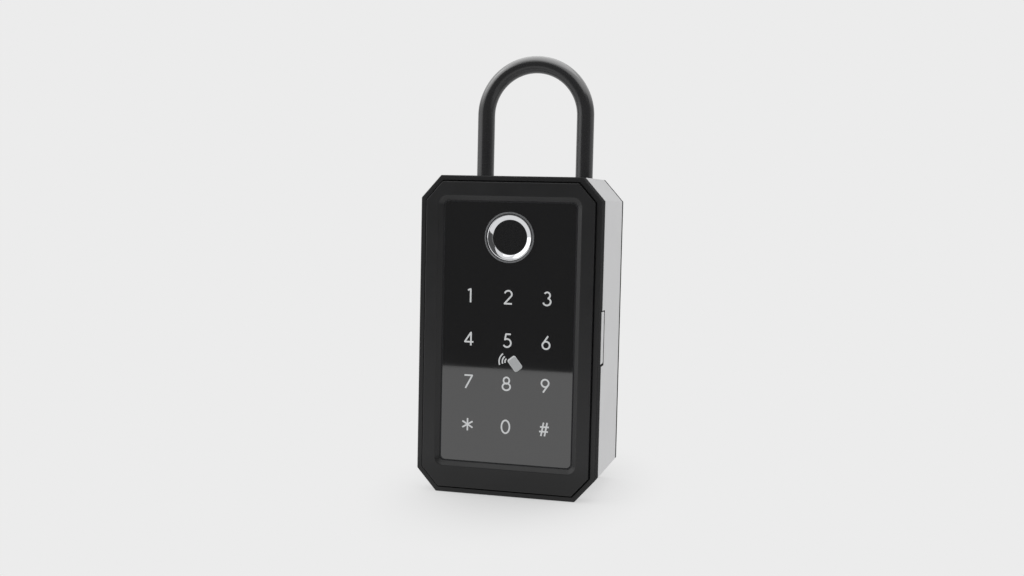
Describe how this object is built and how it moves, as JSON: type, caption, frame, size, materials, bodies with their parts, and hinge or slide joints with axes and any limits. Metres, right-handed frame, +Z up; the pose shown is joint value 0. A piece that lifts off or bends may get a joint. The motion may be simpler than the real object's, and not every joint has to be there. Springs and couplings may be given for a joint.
{
  "type": "key lockbox",
  "caption": "Octagonal key lockbox with a hinged fingerprint and keypad door, motor-driven bolt, key hooks and a lift-out hanging shackle.",
  "frame": {"origin": "under the middle of the case, on the surface that it stands on", "axes": "+X to the right seen from the front, +Y from the door to the back plate, +Z up"},
  "size_m": [0.0733, 0.0502, 0.178],
  "materials": {
    "silver_case": "satin",
    "black_metal": "satin",
    "black_shackle": "satin",
    "black_plastic": "matte",
    "dark_glass": "gloss",
    "polished_ring": "polished",
    "sensor_black": "satin",
    "seal_rubber": "matte",
    "circuit_board": "satin",
    "cell_wrap": "gloss",
    "zinc_steel": "satin",
    "gear_brass": "satin",
    "red_plastic": "satin",
    "grey_plastic": "matte"
  },
  "bodies": {
    "housing": {"housing_shell": "silver_case", "back_plate": "black_metal", "back_screws": "zinc_steel", "shackle_guide": "black_plastic", "guide_screws": "zinc_steel", "shackle_seals": "seal_rubber", "key_hooks": "zinc_steel", "strike_bar": "zinc_steel", "strike_screws": "zinc_steel", "hinge_pin": "zinc_steel"},
    "door": {"door_rim": "black_metal", "front_plate": "black_metal", "glass_panel": "dark_glass", "sensor_ring": "polished_ring", "fingerprint_sensor": "sensor_black", "keypad_board": "circuit_board", "door_seal": "seal_rubber", "inner_cover": "black_plastic", "cover_screws": "zinc_steel", "main_board": "circuit_board", "board_screws": "zinc_steel", "buzzer": "black_plastic", "battery_holder": "black_plastic", "battery_1": "cell_wrap", "battery_2": "cell_wrap", "battery_3": "cell_wrap", "battery_4": "cell_wrap", "battery_contacts": "zinc_steel", "battery_cover": "black_plastic", "battery_cover_screws": "zinc_steel", "lock_frame": "zinc_steel", "gear_motor": "gear_brass", "pull_tab": "silver_case", "usb_socket": "zinc_steel"},
    "bolt": {"lock_bolt": "zinc_steel"},
    "pinion": {"drive_pinion": "gear_brass", "motor_shaft": "zinc_steel"},
    "shackle": {"shackle": "black_shackle"},
    "slider": {"release_slider": "red_plastic"},
    "button": {"reset_button": "grey_plastic"}
  },
  "joints": [
    {"name": "door_hinge", "type": "hinge", "parent": "housing", "child": "door", "pos_m": [-0.0341, -0.0193, 0.0644], "axis": [0, 0, -1], "range_deg": [0, 90]},
    {"name": "bolt_slide", "type": "slide", "parent": "door", "child": "bolt", "axis": [1, 0, 0], "range_m": [0, 0.005]},
    {"name": "pinion_turn", "type": "hinge", "parent": "door", "child": "pinion", "pos_m": [0.01, -0.0156, 0.0734], "axis": [0, 0, -1], "range_deg": [0, 80]},
    {"name": "shackle_lift", "type": "slide", "parent": "housing", "child": "shackle", "axis": [0, 0, 1], "range_m": [0, 0.02]},
    {"name": "release_slide", "type": "slide", "parent": "housing", "child": "slider", "axis": [1, 0, 0], "range_m": [0, 0.003]},
    {"name": "reset_press", "type": "slide", "parent": "door", "child": "button", "axis": [0, -1, 0], "range_m": [0, 0.0008], "stiffness_N_per_m": 1500}
  ],
  "couplings": [
    {"joint": "pinion_turn", "follows": "bolt_slide", "rad_per_m": 277.78}
  ]
}
